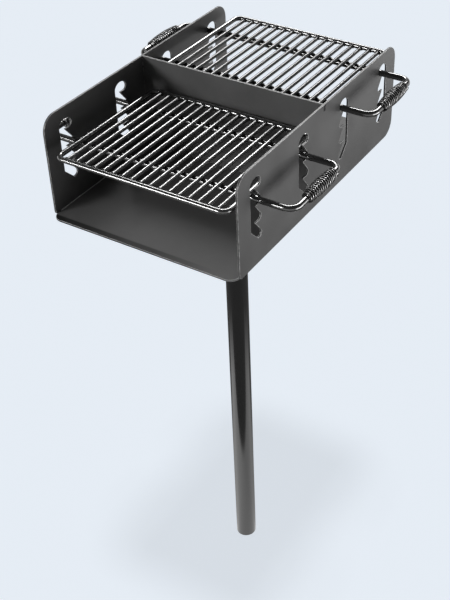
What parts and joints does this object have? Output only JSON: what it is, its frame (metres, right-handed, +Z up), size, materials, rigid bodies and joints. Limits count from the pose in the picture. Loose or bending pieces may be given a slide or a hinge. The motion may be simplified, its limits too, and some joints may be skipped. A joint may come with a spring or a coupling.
{
  "type": "park barbecue grill on a post",
  "caption": "Park charcoal grill of black steel plate that swivels on a ground post, with two lift-out rod grates in stepped slots, looped handles and coiled grips.",
  "frame": {"origin": "centre of the post's foot, the end that goes into the ground", "axes": "+Z up along the post, -Y towards the cook at the front grate, +X to the cook's right"},
  "size_m": [0.7099, 0.7792, 1.6114],
  "materials": {
    "post_paint": "glossy black paint on steel pipe",
    "firebox_paint": "semi-gloss black heat-resistant paint on steel plate",
    "grate_paint": "semi-gloss black paint on steel bar",
    "rod_paint": "semi-gloss black paint on bent steel rod",
    "coil_paint": "worn black paint on coiled steel wire",
    "hidden_steel": "satin black paint on steel",
    "zinc_plated_steel": "dull zinc plate"
  },
  "bodies": {
    "post": {"post": "post_paint", "swivel_head": "post_paint", "retaining_bolt": "zinc_plated_steel"},
    "firebox": {"swivel_stub": "hidden_steel", "swivel_flange": "hidden_steel", "firebox_bottom": "firebox_paint", "left_side_plate": "firebox_paint", "right_side_plate": "firebox_paint", "divider_plate": "firebox_paint"},
    "front_grate": {"front_grate_frame": "grate_paint", "front_grate_bars": "grate_paint", "front_grate_fore_rod": "rod_paint", "front_grate_aft_rod": "rod_paint", "front_left_handle": "rod_paint", "front_right_handle": "rod_paint"},
    "front_left_grip": {"front_left_grip": "coil_paint"},
    "front_right_grip": {"front_right_grip": "coil_paint"},
    "rear_grate": {"rear_grate_frame": "grate_paint", "rear_grate_bars": "grate_paint", "rear_grate_fore_rod": "rod_paint", "rear_grate_aft_rod": "rod_paint", "rear_left_handle": "rod_paint", "rear_right_handle": "rod_paint"},
    "rear_left_grip": {"rear_left_grip": "coil_paint"},
    "rear_right_grip": {"rear_right_grip": "coil_paint"}
  },
  "joints": [
    {"name": "firebox_swivel", "type": "hinge", "parent": "post", "child": "firebox", "pos_m": [0, 0, 1.348], "axis": [0, 0, 1], "continuous": true},
    {"name": "front_grate_lift", "type": "slide", "parent": "firebox", "child": "front_grate", "axis": [0, -0.6164, 0.7874], "range_m": [0, 0.041]},
    {"name": "rear_grate_pull", "type": "slide", "parent": "firebox", "child": "rear_grate", "axis": [0, 1, 0], "range_m": [0, 0.025]},
    {"name": "front_left_grip_spin", "type": "hinge", "parent": "front_grate", "child": "front_left_grip", "pos_m": [-0.32296, -0.17685, 1.5183], "axis": [0, 1, 0], "continuous": true},
    {"name": "front_right_grip_spin", "type": "hinge", "parent": "front_grate", "child": "front_right_grip", "pos_m": [0.34596, -0.17685, 1.5183], "axis": [0, 1, 0], "continuous": true},
    {"name": "rear_left_grip_spin", "type": "hinge", "parent": "rear_grate", "child": "rear_left_grip", "pos_m": [-0.32896, 0.19495, 1.56275], "axis": [0, 1, 0], "continuous": true},
    {"name": "rear_right_grip_spin", "type": "hinge", "parent": "rear_grate", "child": "rear_right_grip", "pos_m": [0.33996, 0.19495, 1.56275], "axis": [0, 1, 0], "continuous": true}
  ]
}
